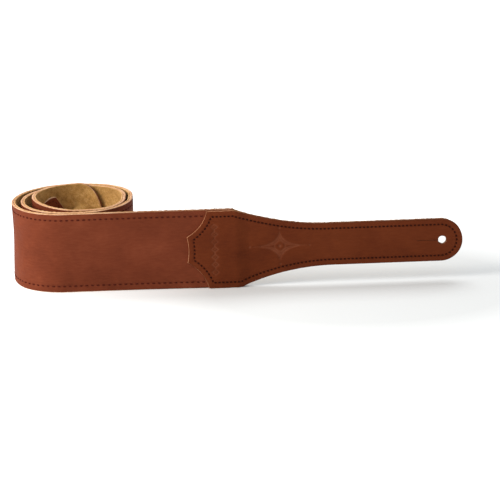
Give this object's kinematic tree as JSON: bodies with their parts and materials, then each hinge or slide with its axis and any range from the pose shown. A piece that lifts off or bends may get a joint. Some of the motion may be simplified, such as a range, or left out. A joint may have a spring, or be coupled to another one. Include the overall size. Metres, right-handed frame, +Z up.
{
  "type": "guitar strap",
  "caption": "Leather guitar strap with suede backing, rolled on its edge, front tab laid out with button hole and scalloped stitched edge, adjuster tail in the rear slots.",
  "frame": {"origin": "bottom centre of the object's box, on the plane it stands on", "axes": "+Z up, across the strap's width; +X along the straight front run towards the tab's tip; +Y away from the leather face of the run, towards its suede side"},
  "size_m": [0.3547, 0.1, 0.0635],
  "materials": {
    "strap_leather": "sanded, matt",
    "tab_leather": "sanded, matt",
    "tail_leather": "sanded, matt",
    "suede": "napped suede",
    "thread": "waxed thread"
  },
  "bodies": {
    "roll": {"strap_leather_roll": "strap_leather", "strap_suede_roll": "suede", "edge_seam_needle_thread_roll": "thread", "edge_seam_bobbin_thread_roll": "thread"},
    "front_run": {"strap_leather_run": "strap_leather", "strap_suede_run": "suede", "front_tab_leather": "tab_leather", "tab_seam_needle_thread": "thread", "tab_seam_bobbin_thread": "thread", "edge_seam_needle_thread_run_low": "thread", "edge_seam_needle_thread_run_high": "thread", "edge_seam_bobbin_thread_run_low": "thread", "edge_seam_bobbin_thread_run_high": "thread"},
    "adjuster_tail": {"tail_leather": "tail_leather", "tail_lining": "suede", "tail_seam_needle_thread": "thread", "tail_seam_bobbin_thread": "thread"}
  },
  "joints": [
    {"name": "front_run_bend", "type": "hinge", "parent": "roll", "child": "front_run", "pos_m": [-0.06275, -0.04605, 0.03175], "axis": [0, 0, 1], "range_deg": [-45, 45]},
    {"name": "tail_slide", "type": "hinge", "parent": "roll", "child": "adjuster_tail", "pos_m": [-0.12632, 0.00448, 0.032], "axis": [0, 0, 1], "range_deg": [-3, 84]}
  ]
}
